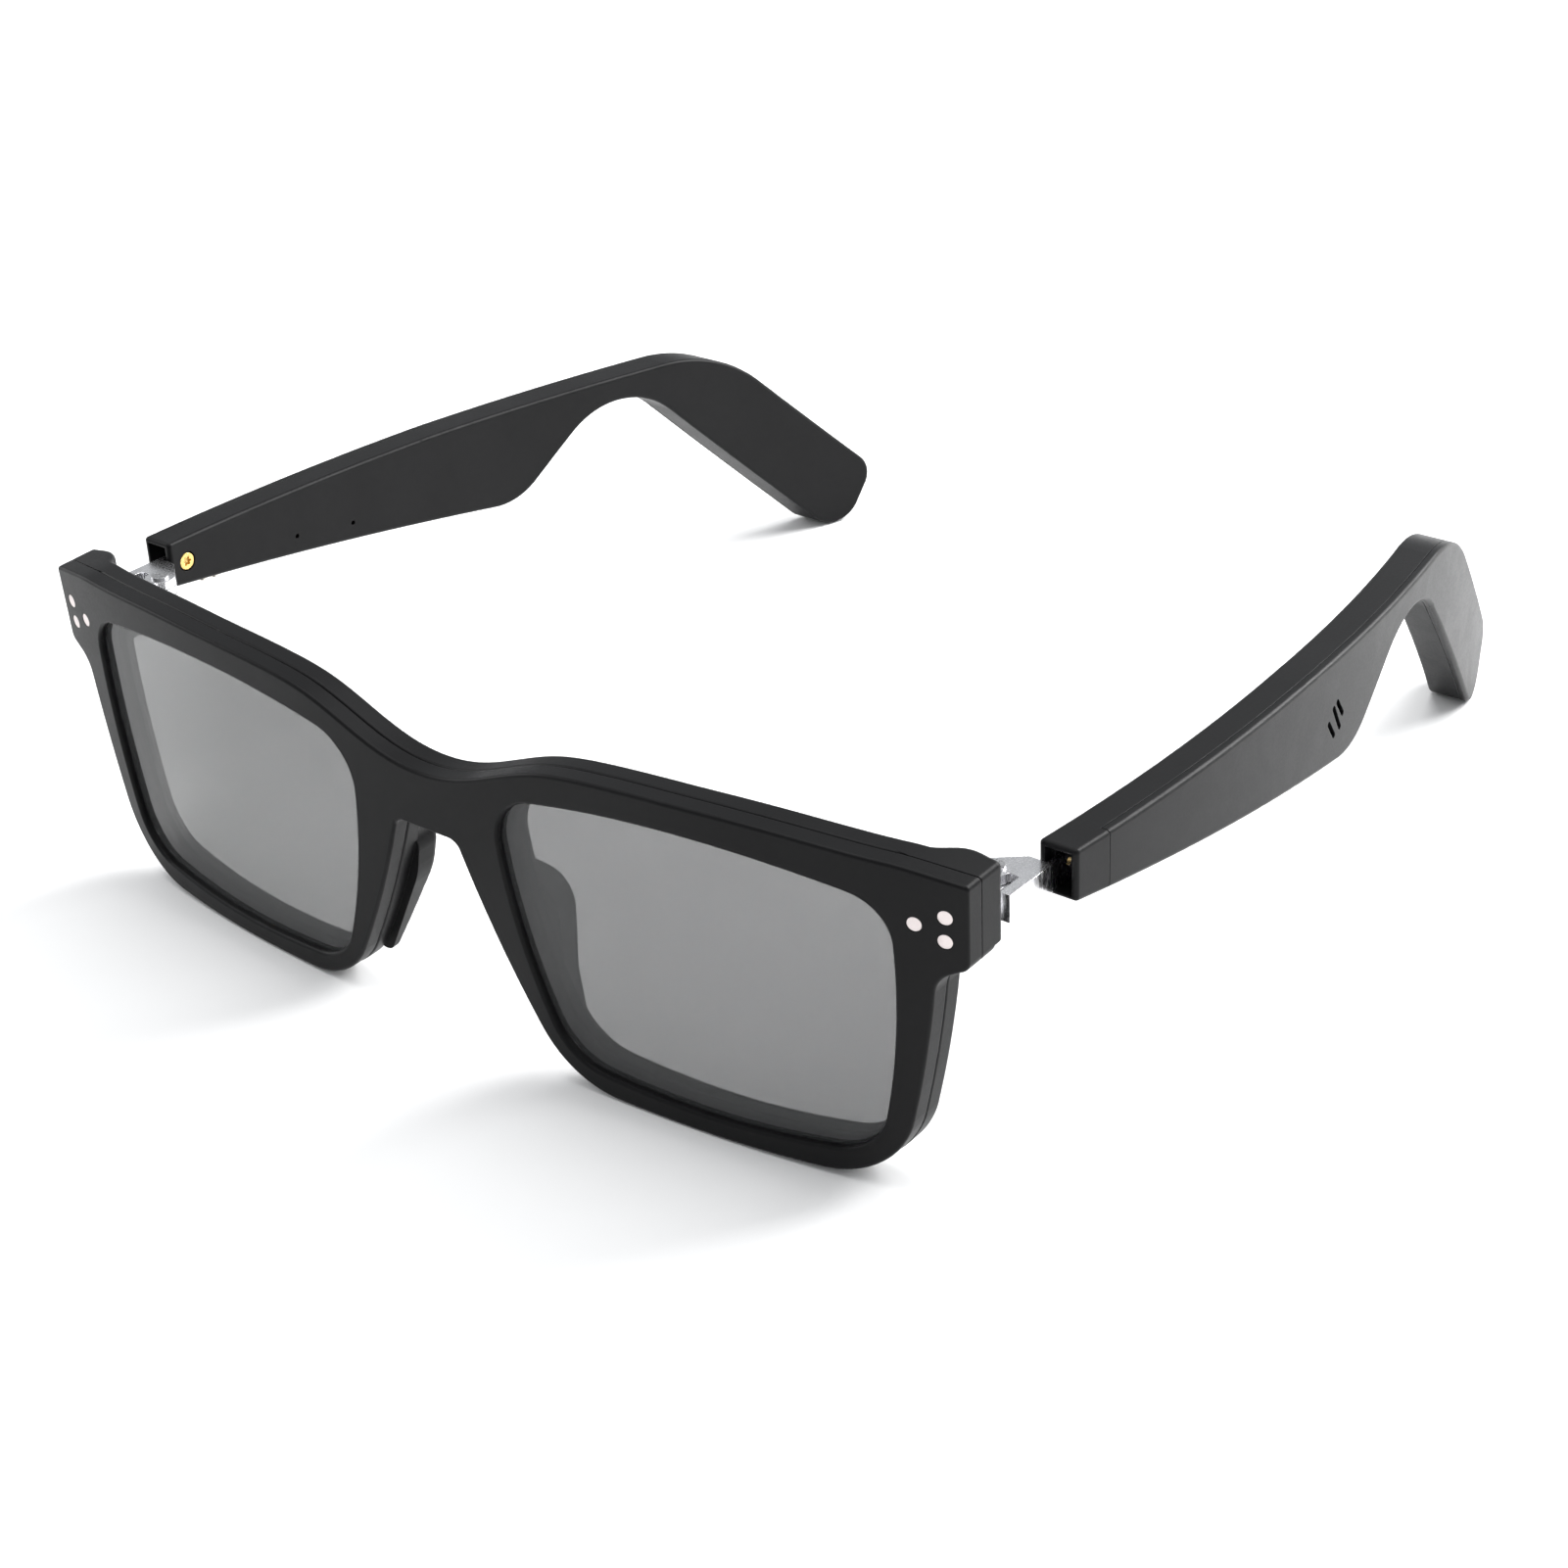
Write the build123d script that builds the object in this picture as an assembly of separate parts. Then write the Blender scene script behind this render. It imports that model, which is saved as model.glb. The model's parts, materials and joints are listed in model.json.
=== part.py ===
"""Smart glasses: a wrapped plastic front with a magnetic clip-on, and two folding temples.

Axes: +X to the wearer's left, +Y towards the ears, +Z up, millimetres.
The front is drawn upright in its own frame (X across, Z up, Y into the depth), then leaned.
The temple and its hinge are drawn on the wearer's left and mirrored for the right.
"""

import math
import os

from build123d import *

# ---- driving dimensions -------------------------------------------------------------------

# Plan of the front: a flat brow arc that turns into a tighter arc at each side.
BROW_RADIUS = 450.0
BROW_HALF_WIDTH = 35.0
SIDE_RADIUS = 205.0
PLAN_HALF_WIDTH = 80.0

# Layers of the front, as depths behind its front face.
CLIP_DEPTH = 2.3
CLIP_LENS_FRONT = 1.0
CLIP_LENS_THICKNESS = 1.1
FRAME_FRONT = 2.45
FRAME_BACK = 5.2
LENS_FRONT = 3.0
LENS_THICKNESS = 1.4

# Outline of the front, half of it, in (x, z).
BROW_CURVE = [
    (0, 15.5),
    (7, 16.6),
    (12.8, 18.8),
    (18.2, 20.7),
    (25.4, 21.8),
    (38, 22.35),
    (50, 22.3),
    (62.5, 21.55),
]
END_TOP = (73.0, 20.2)
END_BOTTOM = (72.7, 9.8)
RIM_SHOULDER = (68.9, 7.9)
RIM_OUTER_CORNER = (63.2, -21.2)
RIM_NOSE_CORNER = (18.8, -21.7)
BRIDGE_CORNER = (4.9, 7.6)
RIM_BOTTOM = -22.1
CLIP_LIFT = 0.2
FACE_EDGE_RADIUS = 0.4
BACK_EDGE_RADIUS = 0.5

# Lens opening of the clip-on: corners in (x, z) and the furthest reach of each bowed side.
OPENING_TOP = 18.48
OPENING_BOTTOM = -19.3
OPENING_OUTER = 64.0
OPENING_NOSE = 13.3
OPENING_TOP_NOSE = (11.6, 15.2)
OPENING_TOP_OUTER = (63.8, 15.8)
OPENING_LOW_OUTER = (61.0, -17.4)
OPENING_LOW_NOSE = (19.2, -18.2)
FRAME_OPENING_INSET = 0.4
LENS_HOLD = 0.8

# End pieces: the deep corner blocks that carry the hinges.
END_BACK = 14.4
END_SHELF = (70.4, END_BACK)
END_STEP_INNER = 58.0
END_UNDERSIDE = 10.4
END_CORNER_RADIUS = 0.8
HINGE_LAND_INNER = 64.2
HINGE_LAND_TOP = 16.8
MAGNET_SIZE = (5.6, 4.4)
MAGNET_THICKNESS = 1.2
MAGNET_PLACE = (68.7, 14.6)

# Discs in the clip-on, in (x, z).
STUDS = [(70.35, 16.05), (70.25, 13.05), (66.9, 14.55)]
STUD_RADIUS = 0.93

# Nose pads: outline corners in (x, z) with their radii, and how deep they sit.
PAD_CORNERS = [
    ((6.4, 3.0), 2.5),
    ((8.0, -4.0), 12.0),
    ((14.9, -17.4), 1.2),
    ((17.6, -17.8), 1.2),
    ((15.6, -10.0), 8.0),
    ((15.7, 2.2), 4.5),
]
PAD_START = 4.85
PAD_BACK = 8.6
PAD_LOW_BACK = 5.9
PAD_EDGE_RADIUS = 0.9

# How far the front leans forwards, in degrees.
FRONT_LEAN = 2.2

# Temple, side view in (y, z): corners and corner radii.
TEMPLE_FRONT = 23.7
TEMPLE_CORNERS = [
    ((TEMPLE_FRONT, 33.35), 0.5),
    ((TEMPLE_FRONT, 39.75), 0.5),
    ((75.0, 38.35), 200.0),
    ((128.7, 36.0), 26.0),
    ((156.7, 8.2), 4.0),
    ((150.4, -3.1), 5.0),
    ((110.2, 37.4), 14.5),
    ((88.9, 22.5), 11.0),
]
HOOK_SLOPE = -44.8
# Temple, plan view: both faces are arcs that bow outwards.
OUTER_BOW_RADIUS = 362.0
OUTER_BOW_X = 76.25
OUTER_BOW_Y = 46.0
INNER_BOW_RADIUS = 340.0
INNER_BOW_X = 71.2
INNER_BOW_Y = 45.0
TEMPLE_EDGE_RADIUS = 0.5

# Temple shell.
COVER_THICKNESS = 1.2
COVER_START = 29.6
SEAM_WIDTH = 0.12
SEAM_DEPTH = 0.5
SHELL_WALL = 1.1
INNER_WALL = 0.9
CAVITY_START = 35.5
CAVITY_END = 152.0

# Openings and contacts of the temple, in (y, z).
SOUND_SLOTS = [
    ((80.7, 29.8), (82.4, 27.5)),
    ((82.0, 31.4), (84.1, 27.9)),
    ((83.1, 31.8), (84.8, 29.5)),
]
SOUND_SLOT_WIDTH = 0.75
SPEAKER_PLACE = (81.0, 30.0)
SPEAKER_SIZE = (12.6, 8.6)
SPEAKER_THICKNESS = 2.1
MICROPHONES = [(46.8, 32.2), (57.3, 30.4)]
MICROPHONE_HEIGHT = 0.9
CONTACTS = [29.9, 32.1]
CONTACT_RADIUS = 0.65
CONTACT_PROUD = 0.4
CONTACT_LENGTH = 1.7
CONTACT_INSET = 1.4
BATTERY_PLACE = (138.8, 17.4)
BATTERY_SIZE = (20.0, 7.0)
BATTERY_THICKNESS = 2.2
BOARD_END = 68.0
BOARD_THICKNESS = 0.7
TOUCH_PLACE = (54.0, 33.6)
TOUCH_SIZE = (18.0, 4.5)
TOUCH_THICKNESS = 0.2

# Hinge.
PIN_X = 67.8
PIN_Y = 19.4
PIN_RADIUS = 0.7
PIN_CLEARANCE = 0.04
KNUCKLE_RADIUS = 2.0
KNUCKLE_EASE = 0.1
BLOCK_BOTTOM = 33.9
BLOCK_TOP = 37.4
TONGUE_INNER = 71.9
TONGUE_OUTER = 72.6
MOUTH_X = (71.4, 74.9)
MOUTH_Z = (33.8, 39.1)
TONGUE_BACK = 31.0
PLATE_THICKNESS = 0.9
PLATE_BACK = 13.6
PLATE_X = (64.3, 70.5)
PLATE_MARGIN = 0.8
PLATE_SCREW_X = 65.05
SCREW_PLACE = (26.6, 36.2)
SCREW_HEAD_RADIUS = 1.2
SCREW_HEAD_HEIGHT = 0.6

# Small gap between pieces that only lie against each other.
EASE = 0.05


# ---- helpers ------------------------------------------------------------------------------


def face_of(*lines):
    """A face bounded by a closed run of lines and arcs."""
    return make_face([edge for line in lines for edge in line.edges()])


def rounded_face(corners):
    """A face with straight sides and one fillet radius per corner, in the XY plane."""
    count = len(corners)
    points = [Vector(*point) for point, _ in corners]
    starts = []
    ends = []
    lines = []
    for index, (_, radius) in enumerate(corners):
        corner = points[index]
        to_last = (points[index - 1] - corner).normalized()
        to_next = (points[(index + 1) % count] - corner).normalized()
        half_angle = math.radians(to_last.get_angle(to_next)) / 2
        reach = radius / math.tan(half_angle)
        inwards = (to_last + to_next).normalized()
        middle = corner + inwards * (radius / math.sin(half_angle) - radius)
        starts.append(corner + to_last * reach)
        ends.append(corner + to_next * reach)
        lines.append(ThreePointArc(starts[index], middle, ends[index]))
    for index in range(count):
        lines.append(Line(ends[index - 1], starts[index]))
    return face_of(*lines)


def filleted_corners(face, corner_radii):
    """Rounds the named corners of a face in the XY plane."""
    for (x, y), radius in corner_radii:
        vertex = face.vertices().sort_by_distance((x, y, 0))[0]
        face = fillet(vertex, radius)
    return face


def box(x_range, y_range, z_range):
    """A box given by its low and high faces."""
    ranges = (x_range, y_range, z_range)
    sizes = [high - low for low, high in ranges]
    centre = [(low + high) / 2 for low, high in ranges]
    return Pos(*centre) * Box(*sizes)


def upright_cylinder(x, y, radius, z_range):
    return extrude(Pos(x, y, z_range[0]) * Circle(radius), z_range[1] - z_range[0])


def mirrored(shape):
    return mirror(shape, about=Plane.YZ)


def on_both_sides(shape):
    return [shape, mirrored(shape)]


def single(shape):
    """The largest solid of a shape."""
    return max(shape.solids(), key=lambda solid: solid.volume)


# ---- the wrapped front --------------------------------------------------------------------

JOIN_ANGLE = math.asin(BROW_HALF_WIDTH / BROW_RADIUS)
SIDE_CENTRE_X = BROW_HALF_WIDTH - SIDE_RADIUS * math.sin(JOIN_ANGLE)
SIDE_CENTRE_Y = BROW_RADIUS - (BROW_RADIUS - SIDE_RADIUS) * math.cos(JOIN_ANGLE)
END_ANGLE = math.asin((PLAN_HALF_WIDTH - SIDE_CENTRE_X) / SIDE_RADIUS)


def brow_point(angle, depth):
    reach = BROW_RADIUS - depth
    return (reach * math.sin(angle), BROW_RADIUS - reach * math.cos(angle))


def side_point(angle, depth):
    reach = SIDE_RADIUS - depth
    return (SIDE_CENTRE_X + reach * math.sin(angle), SIDE_CENTRE_Y - reach * math.cos(angle))


def side_angle(x):
    """Angle along the side arc at which the front face reaches a given x."""
    return math.asin((x - SIDE_CENTRE_X) / SIDE_RADIUS)


def depth_of(point):
    """How far a point lies behind the front face."""
    x = abs(point.X)
    if x < BROW_HALF_WIDTH:
        return BROW_RADIUS - math.hypot(x, BROW_RADIUS - point.Y)
    return SIDE_RADIUS - math.hypot(x - SIDE_CENTRE_X, SIDE_CENTRE_Y - point.Y)


def flipped(point):
    return (-point[0], point[1])


def plan_arcs(depth):
    """The wrapped line of the front at one depth, from the wearer's right to the left."""
    middle = (JOIN_ANGLE + END_ANGLE) / 2
    join = brow_point(JOIN_ANGLE, depth)
    half_way = side_point(middle, depth)
    end = side_point(END_ANGLE, depth)
    return [
        ThreePointArc(flipped(end), flipped(half_way), flipped(join)),
        ThreePointArc(flipped(join), brow_point(0, depth), join),
        ThreePointArc(join, half_way, end),
    ]


def plan_band(front_depth, back_depth):
    """The space between two depths of the wrapped front, over its whole height."""
    front = plan_arcs(front_depth)
    back = plan_arcs(back_depth)
    right_end = Line(front[0] @ 0, back[0] @ 0)
    left_end = Line(front[2] @ 1, back[2] @ 1)
    return extrude(Pos(0, 0, -40) * face_of(*front, *back, right_end, left_end), 80)


def surface_plane(place, depth=0.0):
    """A plane on the wrapped surface beside a temple, with its normal into the depth."""
    x, z = place
    angle = side_angle(x)
    px, py = side_point(angle, depth)
    return Plane(origin=(px, py, z), x_dir=(0, 0, 1), z_dir=(-math.sin(angle), math.cos(angle), 0))


def face_edges(shape, depth):
    """The outline edges of a shape that lie on the wrapped surface at one depth."""
    edges = []
    for edge in shape.edges():
        ends = [edge @ 0, edge @ 1]
        upright = abs(ends[0].X - ends[1].X) < 0.01 and abs(ends[0].Y - ends[1].Y) < 0.01
        on_join = upright and abs(abs(ends[0].X) - BROW_HALF_WIDTH) < 0.5
        at_depth = all(abs(depth_of(edge @ along) - depth) < 0.02 for along in (0, 0.5, 1))
        if at_depth and not on_join:
            edges.append(edge)
    return edges


def front_outline(lift=0.0):
    """The outer outline of the front, as a face in the XZ plane, with its rims' undersides lifted."""
    outer_corner = (RIM_OUTER_CORNER[0], RIM_OUTER_CORNER[1] + lift)
    nose_corner = (RIM_NOSE_CORNER[0], RIM_NOSE_CORNER[1] + lift)
    half = face_of(
        Spline(BROW_CURVE + [END_TOP], tangents=[(1, 0), (1, -0.17)]),
        Line(END_TOP, END_BOTTOM),
        Line(END_BOTTOM, RIM_SHOULDER),
        ThreePointArc(RIM_SHOULDER, (67.2, -4.0), outer_corner),
        ThreePointArc(outer_corner, (40.0, RIM_BOTTOM + lift), nose_corner),
        ThreePointArc(nose_corner, (9.9, -5.0), BRIDGE_CORNER),
        Line(BRIDGE_CORNER, (0, BRIDGE_CORNER[1])),
        Line((0, BRIDGE_CORNER[1]), BROW_CURVE[0]),
    )
    corner_radii = [
        (END_TOP, 0.6),
        (END_BOTTOM, 1.4),
        (RIM_SHOULDER, 3.5),
        (outer_corner, 12.5),
        (nose_corner, 13.0),
        (BRIDGE_CORNER, 1.8),
    ]
    half = filleted_corners(half, corner_radii)
    return Plane.XZ * (half + mirrored(half))


def lens_outline(growth=0.0):
    """One lens opening on the wearer's left, in the XZ plane, grown all round."""
    top_nose = (OPENING_TOP_NOSE[0] - growth, OPENING_TOP_NOSE[1] + growth)
    top_outer = (OPENING_TOP_OUTER[0] + growth, OPENING_TOP_OUTER[1] + growth)
    low_outer = (OPENING_LOW_OUTER[0] + growth, OPENING_LOW_OUTER[1] - growth)
    low_nose = (OPENING_LOW_NOSE[0] - growth, OPENING_LOW_NOSE[1] - growth)
    face = face_of(
        ThreePointArc(top_nose, (39.0, OPENING_TOP + growth), top_outer),
        ThreePointArc(top_outer, (OPENING_OUTER + growth, 1.0), low_outer),
        ThreePointArc(low_outer, (39.5, OPENING_BOTTOM - growth), low_nose),
        ThreePointArc(low_nose, (OPENING_NOSE - growth, -1.0), top_nose),
    )
    corner_radii = [
        (top_nose, 7.0 + growth),
        (top_outer, 6.0 + growth),
        (low_outer, 7.5 + growth),
        (low_nose, 8.5 + growth),
    ]
    return Plane.XZ * filleted_corners(face, corner_radii)


def through(face):
    """A face of the XZ plane drawn out over the whole depth of the front."""
    return extrude(face, 30, both=True)


def lens(growth, front_depth, thickness):
    """A curved lens on the wearer's left that follows the wrap of the front."""
    return single(through(lens_outline(growth)) & plan_band(front_depth, front_depth + thickness))


def clip_frame():
    body = through(front_outline(CLIP_LIFT)) & plan_band(0, CLIP_DEPTH)
    for opening in on_both_sides(through(lens_outline())):
        body -= opening
    body = fillet(face_edges(body, 0), FACE_EDGE_RADIUS)
    seat = through(lens_outline(LENS_HOLD)) & plan_band(CLIP_LENS_FRONT, CLIP_DEPTH + 1)
    for cut in on_both_sides(seat):
        body -= cut
    for place in STUDS:
        bore = extrude(surface_plane(place, -1) * Circle(STUD_RADIUS + 0.02), 5)
        for cut in on_both_sides(bore):
            body -= cut
    return single(body)


def clip_studs():
    """Three flush discs with their edges broken, in one end of the clip-on."""
    studs = []
    for place in STUDS:
        stud = extrude(surface_plane(place, 0.02) * Circle(STUD_RADIUS), CLIP_DEPTH - 0.1)
        studs.append(chamfer(stud.edges(), 0.08))
    return Compound(children=studs)


def end_block():
    """The deep end piece on the wearer's left, behind the frame's front face."""
    rise = side_angle(END_STEP_INNER)
    inner_end = side_point(rise, FRAME_BACK - 0.1)
    low = inner_end[1] - 1
    back = Spline(
        [inner_end, (66.2, END_BACK - 2.3), END_SHELF],
        tangents=[(math.cos(rise), math.sin(rise)), (1, 0)],
    )
    plan = face_of(
        back,
        Line(END_SHELF, (PLAN_HALF_WIDTH, END_BACK)),
        Line((PLAN_HALF_WIDTH, END_BACK), (PLAN_HALF_WIDTH, low)),
        Line((PLAN_HALF_WIDTH, low), (inner_end[0], low)),
        Line((inner_end[0], low), inner_end),
    )
    prism = extrude(Pos(0, 0, END_UNDERSIDE) * plan, 20)
    land = box((HINGE_LAND_INNER, END_SHELF[0]), (low + 2, END_BACK), (END_UNDERSIDE, HINGE_LAND_TOP))
    block = (prism + land) & through(front_outline())
    block = single(block - plan_band(-10, FRAME_FRONT) - through(lens_outline(-FRAME_OPENING_INSET)))
    outer_corner = block.edges().sort_by_distance((END_TOP[0], END_BACK, MAGNET_PLACE[1]))[0]
    return fillet(outer_corner, END_CORNER_RADIUS)


def nose_pad():
    """The moulded pad behind the rim beside the nose, on the wearer's left."""
    outline = Plane.XZ * rounded_face(PAD_CORNERS)
    column = Pos(0, PAD_BACK, 0) * extrude(outline, PAD_BACK - PAD_START)
    top = (PAD_BACK, 8)
    low = (PAD_LOW_BACK, -20)
    side = face_of(
        ThreePointArc(top, (PAD_BACK - 0.6, -6), low),
        Line(low, (PAD_START - 1, -20)),
        Line((PAD_START - 1, -20), (PAD_START - 1, 8)),
        Line((PAD_START - 1, 8), top),
    )
    pad = single(column & extrude(Plane.YZ * side, 30))
    rear = pad.faces().sort_by(Axis.Y)[-1]
    return fillet(rear.edges(), PAD_EDGE_RADIUS)


def frame_magnet(growth=0.0):
    """A flat magnet let into the front face of the end piece on the wearer's left."""
    height, width = MAGNET_SIZE
    seat = surface_plane(MAGNET_PLACE, FRAME_FRONT + 0.15)
    return extrude(seat * Rectangle(height + growth, width + growth), MAGNET_THICKNESS + growth / 2)


def main_frame():
    """The front without its hinge seats, upright."""
    body = through(front_outline()) & plan_band(FRAME_FRONT, FRAME_BACK)
    for opening in on_both_sides(through(lens_outline(-FRAME_OPENING_INSET))):
        body -= opening
    body = fillet(face_edges(body, FRAME_FRONT), FACE_EDGE_RADIUS)
    body = fillet(face_edges(body, FRAME_BACK), BACK_EDGE_RADIUS)
    for addition in (end_block(), nose_pad()):
        for piece in on_both_sides(addition):
            body += piece
    groove = through(lens_outline(LENS_HOLD + EASE)) & plan_band(
        LENS_FRONT, LENS_FRONT + LENS_THICKNESS + EASE
    )
    seat = frame_magnet(EASE) + Pos(0, -1, 0) * frame_magnet(EASE)
    for cut in on_both_sides(groove) + on_both_sides(seat):
        body -= cut
    return single(body)


def leaned(shape):
    return Rot(FRONT_LEAN, 0, 0) * shape


# ---- hinge --------------------------------------------------------------------------------

KNUCKLE_HEIGHT = (BLOCK_TOP - BLOCK_BOTTOM) / 3
MIDDLE = (BLOCK_BOTTOM + KNUCKLE_HEIGHT, BLOCK_TOP - KNUCKLE_HEIGHT)


def hinge_pocket():
    """The seat for the hinge leaf in the back of the end piece."""
    return box(
        (PLATE_X[0] - EASE, PLATE_X[1] + EASE),
        (PLATE_BACK - PLATE_THICKNESS, 30),
        (BLOCK_BOTTOM - PLATE_MARGIN - EASE, BLOCK_TOP + PLATE_MARGIN + EASE),
    )


def plate_screw_planes():
    """Planes on the leaf at its two screws, with their normals into the end piece."""
    heights = (BLOCK_BOTTOM + 0.2, BLOCK_TOP - 0.2)
    places = [(PLATE_SCREW_X, PLATE_BACK, z) for z in heights]
    return [Plane(origin=place, x_dir=(1, 0, 0), z_dir=(0, -1, 0)) for place in places]


def plate_screw_bores():
    return [extrude(plane * Circle(0.4), 2.7) for plane in plate_screw_planes()]


def plate_screws():
    """Two small slotted screws that hold the leaf."""
    screws = []
    for plane in plate_screw_planes():
        shank = extrude(plane * Circle(0.4), 2.6)
        head = extrude(plane * Circle(0.7), -0.35)
        slot = extrude(plane.offset(-0.2) * Rectangle(1.6, 0.18), -1)
        screws.append(single(head + shank - slot))
    return Compound(children=screws)


def hinge_plate():
    """The leaf on the frame, with one knuckle between the two of the temple."""
    plate = box(
        PLATE_X,
        (PLATE_BACK - PLATE_THICKNESS, PLATE_BACK),
        (BLOCK_BOTTOM - PLATE_MARGIN, BLOCK_TOP + PLATE_MARGIN),
    )
    low = MIDDLE[0] + KNUCKLE_EASE
    high = MIDDLE[1] - KNUCKLE_EASE
    arm = box((PIN_X - KNUCKLE_RADIUS, PIN_X + KNUCKLE_RADIUS), (PLATE_BACK - 0.1, PIN_Y), (low, high))
    plate += arm
    plate += upright_cylinder(PIN_X, PIN_Y, KNUCKLE_RADIUS, (low, high))
    plate -= upright_cylinder(PIN_X, PIN_Y, PIN_RADIUS + PIN_CLEARANCE, (low - 1, high + 1))
    for bore in plate_screw_bores():
        plate -= bore
    return single(plate)


def hinge_pin():
    """The pivot screw: a slotted head on a plain shank."""
    shank = upright_cylinder(PIN_X, PIN_Y, PIN_RADIUS, (BLOCK_BOTTOM - 0.1, BLOCK_TOP))
    head = upright_cylinder(PIN_X, PIN_Y, 1.2, (BLOCK_TOP, BLOCK_TOP + 0.3))
    slot = box((PIN_X - 2, PIN_X + 2), (PIN_Y - 0.12, PIN_Y + 0.12), (BLOCK_TOP + 0.14, BLOCK_TOP + 1))
    return single(shank + head - slot)


def hinge_block():
    """The metal block between end piece and temple.

    A bar reaches forward beside the knuckles, a tongue reaches back into the temple.
    """
    plan = rounded_face(
        [
            ((71.2, 15.4), 0.2),
            ((TONGUE_OUTER, 15.4), 0.2),
            ((TONGUE_OUTER, TONGUE_BACK), 0.3),
            ((TONGUE_INNER, TONGUE_BACK), 0.3),
            ((TONGUE_INNER, 23.4), 0.1),
            ((69.6, 23.4), 0.4),
            ((66.2, 20.7), 0.3),
            ((PIN_X, PIN_Y), 0.1),
            ((71.2, PIN_Y - 0.2), 0.2),
        ]
    )
    block = extrude(Pos(0, 0, BLOCK_BOTTOM) * plan, BLOCK_TOP - BLOCK_BOTTOM)
    block += upright_cylinder(PIN_X, PIN_Y, KNUCKLE_RADIUS, (BLOCK_BOTTOM, BLOCK_TOP))
    block -= upright_cylinder(PIN_X, PIN_Y, KNUCKLE_RADIUS + 0.2, MIDDLE)
    block -= upright_cylinder(PIN_X, PIN_Y, PIN_RADIUS, (BLOCK_BOTTOM - 1, BLOCK_TOP + 1))
    block -= extrude(screw_plane() * Circle(0.5), 8)
    return single(block)


# ---- temples ------------------------------------------------------------------------------


def outer_x(y):
    drop = OUTER_BOW_RADIUS - math.sqrt(OUTER_BOW_RADIUS**2 - (y - OUTER_BOW_Y) ** 2)
    return OUTER_BOW_X - drop


def inner_x(y):
    drop = INNER_BOW_RADIUS - math.sqrt(INNER_BOW_RADIUS**2 - (y - INNER_BOW_Y) ** 2)
    return INNER_BOW_X - drop


def bow_arc(face_x, inset, y_range):
    """One bowed face of the temple in plan, moved along X by an inset."""
    low, high = y_range
    points = [(face_x(y) + inset, y) for y in (low, (low + high) / 2, high)]
    return ThreePointArc(*points)


def temple_slab(inner, outer, y_range):
    """The space between two bowed faces, each given as (its arc, its inset along X)."""
    inner_arc = bow_arc(*inner, y_range)
    outer_arc = bow_arc(*outer, y_range)
    plan = face_of(
        inner_arc,
        outer_arc,
        Line(inner_arc @ 0, outer_arc @ 0),
        Line(inner_arc @ 1, outer_arc @ 1),
    )
    return extrude(Pos(0, 0, -10) * plan, 60)


def side_prism(face):
    """A side-view face drawn out across the temple."""
    return Pos(40, 0, 0) * extrude(Plane.YZ * face, 60)


def temple_outline(inset=0.0):
    face = rounded_face(TEMPLE_CORNERS)
    if inset:
        face = offset(face, -inset)
    return face


def temple_form():
    """The whole temple as one solid with its long edges broken."""
    form = side_prism(temple_outline()) & temple_slab((inner_x, 0), (outer_x, 0), (10, 170))
    form = single(form)
    return fillet(form.edges().filter_by(lambda edge: abs((edge % 0.5).X) < 0.9), TEMPLE_EDGE_RADIUS)


def cover_zone():
    """The outer layer of the temple behind its front end."""
    return temple_slab((outer_x, -COVER_THICKNESS), (outer_x, 5), (COVER_START, 170))


def seam():
    """A fine groove round the edge of the cover."""
    ring = side_prism(temple_outline(-1)) - side_prism(temple_outline(SEAM_DEPTH))
    lengthwise = temple_slab(
        (outer_x, -COVER_THICKNESS), (outer_x, SEAM_WIDTH - COVER_THICKNESS), (COVER_START, 170)
    )
    return ring & lengthwise


def cover_place(place):
    """A place on the cover's inner face: X outwards, Y to the rear, Z up."""
    y, z = place
    turn = math.degrees(math.asin((y - OUTER_BOW_Y) / OUTER_BOW_RADIUS))
    return Pos(outer_x(y) - COVER_THICKNESS, y, z) * Rot(0, 0, turn)


def wall_place(place):
    """A place on the cavity's inner wall: X outwards, Y to the rear, Z up."""
    y, z = place
    turn = math.degrees(math.asin((y - INNER_BOW_Y) / INNER_BOW_RADIUS))
    return Pos(inner_x(y) + INNER_WALL, y, z) * Rot(0, 0, turn)


def slab_box(length, height, thickness):
    """A box that starts on the YZ plane and grows outwards."""
    return Pos(thickness / 2, 0, 0) * Box(thickness, length, height)


def cavity():
    """The room for the electronics, open towards the cover."""
    return side_prism(temple_outline(SHELL_WALL)) & temple_slab(
        (inner_x, INNER_WALL), (outer_x, -COVER_THICKNESS + 0.5), (CAVITY_START, CAVITY_END)
    )


def underside_z(y):
    """Height of the temple's lower edge ahead of the speaker lobe."""
    start_y, start_z = TEMPLE_CORNERS[0][0]
    end_y, end_z = TEMPLE_CORNERS[-1][0]
    return start_z + (end_z - start_z) * (y - start_y) / (end_y - start_y)


def screw_plane(depth=0.0):
    """A plane across the temple screw, with its normal outwards, some way below the inner face."""
    y, z = SCREW_PLACE
    return Plane(origin=(inner_x(y) + depth, y, z), x_dir=(0, 1, 0), z_dir=(1, 0, 0))


def charging_contacts(growth=0.0):
    """Two round pins that stand out of the underside."""
    pins = []
    for y in CONTACTS:
        low = underside_z(y) - CONTACT_PROUD
        x = inner_x(y) + CONTACT_INSET
        pins.append(upright_cylinder(x, y, CONTACT_RADIUS + growth, (low, low + CONTACT_LENGTH + growth)))
    return pins


def microphone_holes():
    return [extrude(Plane.YZ * Pos(*place) * Circle(0.35), 80) for place in MICROPHONES]


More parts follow.
